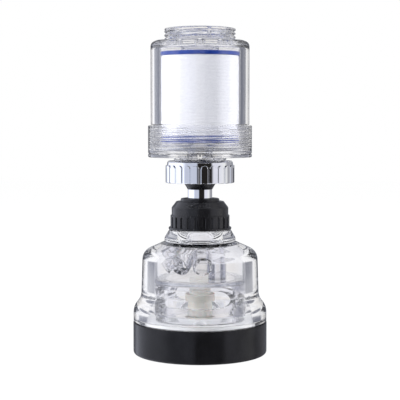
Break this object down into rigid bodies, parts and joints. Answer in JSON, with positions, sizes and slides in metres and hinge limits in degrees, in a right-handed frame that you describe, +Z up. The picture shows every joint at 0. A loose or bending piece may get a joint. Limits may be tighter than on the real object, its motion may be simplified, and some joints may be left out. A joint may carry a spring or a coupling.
{
  "type": "faucet mount water filter",
  "caption": "Clear tap filter unit with a spun cartridge, a double ball swivel and a clear spray head with a turning mode ring.",
  "frame": {"origin": "centre of the base ring's foot, on the surface that the part stands on", "axes": "+Z up the common axis, from the spray face to the inlet neck; -Y is the front of the spray head"},
  "size_m": [0.0536, 0.0536, 0.1296],
  "materials": {
    "clear_plastic": "clear polished moulding",
    "black_gloss": "polished black moulding",
    "black_satin": "satin black moulding",
    "chrome": "polished chrome plate",
    "filter_fibre": "spun white fibre",
    "blue_plastic": "blue moulding",
    "white_plastic": "white moulding",
    "pale_plastic": "pale engineering plastic",
    "silicone": "pale silicone",
    "grey_silicone": "grey silicone",
    "steel": "stainless steel"
  },
  "bodies": {
    "filter": {"filter_base": "clear_plastic", "cartridge_bottom_cap": "blue_plastic", "cartridge_core": "white_plastic", "cartridge_media": "filter_fibre", "cartridge_top_cap": "blue_plastic", "swivel_nut": "chrome", "spout_washer": "silicone"},
    "seal_carrier": {"housing_seal": "silicone"},
    "housing": {"filter_housing": "clear_plastic", "inlet_washer": "silicone"},
    "upper_seat": {"upper_ball_seal": "silicone"},
    "stem": {"swivel_stem": "chrome", "upper_ball": "black_satin", "lower_ball": "black_satin"},
    "lower_seat": {"lower_seat_ring": "black_satin"},
    "head": {"head_body": "clear_plastic", "lower_ball_seal": "silicone", "bell_nut": "black_satin", "inlet_distributor": "clear_plastic", "flow_drum": "clear_plastic", "drum_seal": "silicone", "centre_post": "pale_plastic", "port_disc": "white_plastic", "port_seal": "silicone", "detent_spring": "steel", "detent_ball": "steel", "centre_screw": "steel", "ring_seal": "silicone"},
    "mode": {"mode_ring": "black_gloss", "spray_plate": "black_satin", "nozzle_pad": "grey_silicone", "selector_disc": "white_plastic", "aerator_cup": "white_plastic", "aerator_mesh": "steel"}
  },
  "joints": [
    {"name": "housing_lift", "type": "slide", "parent": "filter", "child": "seal_carrier", "axis": [0, 0, 1], "range_m": [0, 0.006]},
    {"name": "housing_turn", "type": "hinge", "parent": "seal_carrier", "child": "housing", "pos_m": [0, 0, 0.0823], "axis": [0, 0, 1], "range_deg": [0, 1440]},
    {"name": "upper_spin", "type": "hinge", "parent": "filter", "child": "upper_seat", "pos_m": [0, 0, 0.0713], "axis": [0, 0, 1], "continuous": true},
    {"name": "upper_tilt", "type": "hinge", "parent": "upper_seat", "child": "stem", "pos_m": [0, 0, 0.0713], "axis": [1, 0, 0], "range_deg": [-15, 15]},
    {"name": "lower_tilt", "type": "hinge", "parent": "stem", "child": "lower_seat", "pos_m": [0, 0, 0.0575], "axis": [1, 0, 0], "range_deg": [-15, 15]},
    {"name": "lower_spin", "type": "hinge", "parent": "lower_seat", "child": "head", "pos_m": [0, 0, 0.0575], "axis": [0, 0, 1], "continuous": true},
    {"name": "mode_turn", "type": "hinge", "parent": "head", "child": "mode", "pos_m": [0, 0, 0.0102], "axis": [0, 0, 1], "range_deg": [0, 120]}
  ],
  "couplings": [
    {"joint": "housing_turn", "follows": "housing_lift", "rad_per_m": 4188.8}
  ]
}
